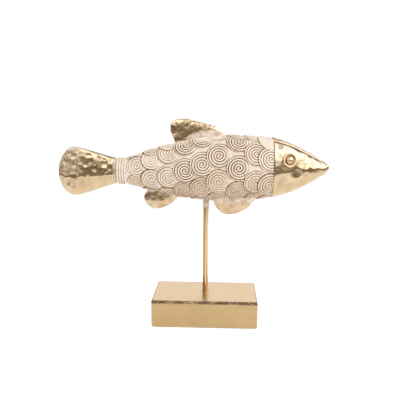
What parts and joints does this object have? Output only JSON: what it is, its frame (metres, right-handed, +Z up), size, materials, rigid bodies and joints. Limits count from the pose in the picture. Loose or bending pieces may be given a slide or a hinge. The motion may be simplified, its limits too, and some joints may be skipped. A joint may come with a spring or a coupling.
{
  "type": "fish figurine on a stand",
  "caption": "Cast fish ornament with a whitewashed spiral-scaled body and gilded head, fins and tail, held on a slim rod above a gold-clad block and free to be turned on it.",
  "frame": {"origin": "centre of the underside of the block, on the rod's axis", "axes": "+X along the fish towards its nose, +Y towards the fish's left side, +Z up along the rod"},
  "size_m": [0.283, 0.062, 0.217],
  "materials": {
    "resin_whitewash": "gold base coat, brushed over with cream that leaves the grooves tan",
    "resin_gold": "mirror gold lacquer over a hand-dimpled casting",
    "rod_gold": "satin gold lacquer on steel bar",
    "sheet_brass": "polished thin sheet, folded over the block",
    "ferrule_brass": "turned",
    "core_wood": "bare",
    "felt": "pressed felt",
    "screw_steel": "zinc plated"
  },
  "bodies": {
    "stand": {"base_core": "core_wood", "base_cladding": "sheet_brass", "base_felt": "felt"},
    "fish": {"support_rod": "rod_gold", "rod_screw": "screw_steel", "rod_washer": "screw_steel", "rod_ferrule": "ferrule_brass", "body_shell": "resin_whitewash", "head_cap": "resin_gold", "head_crest": "resin_gold", "eye_ring_left": "resin_gold", "eye_ring_right": "resin_gold", "eye_bead_left": "resin_gold", "eye_bead_right": "resin_gold", "dorsal_fin": "resin_gold", "pelvic_fin_left": "resin_gold", "pelvic_fin_right": "resin_gold", "anal_fin_left": "resin_gold", "anal_fin_right": "resin_gold", "tail_fin": "resin_gold", "tail_collar": "resin_whitewash"}
  },
  "joints": [
    {"name": "fish_swivel", "type": "hinge", "parent": "stand", "child": "fish", "pos_m": [0, 0, 0.03], "axis": [0, 0, 1], "continuous": true}
  ]
}
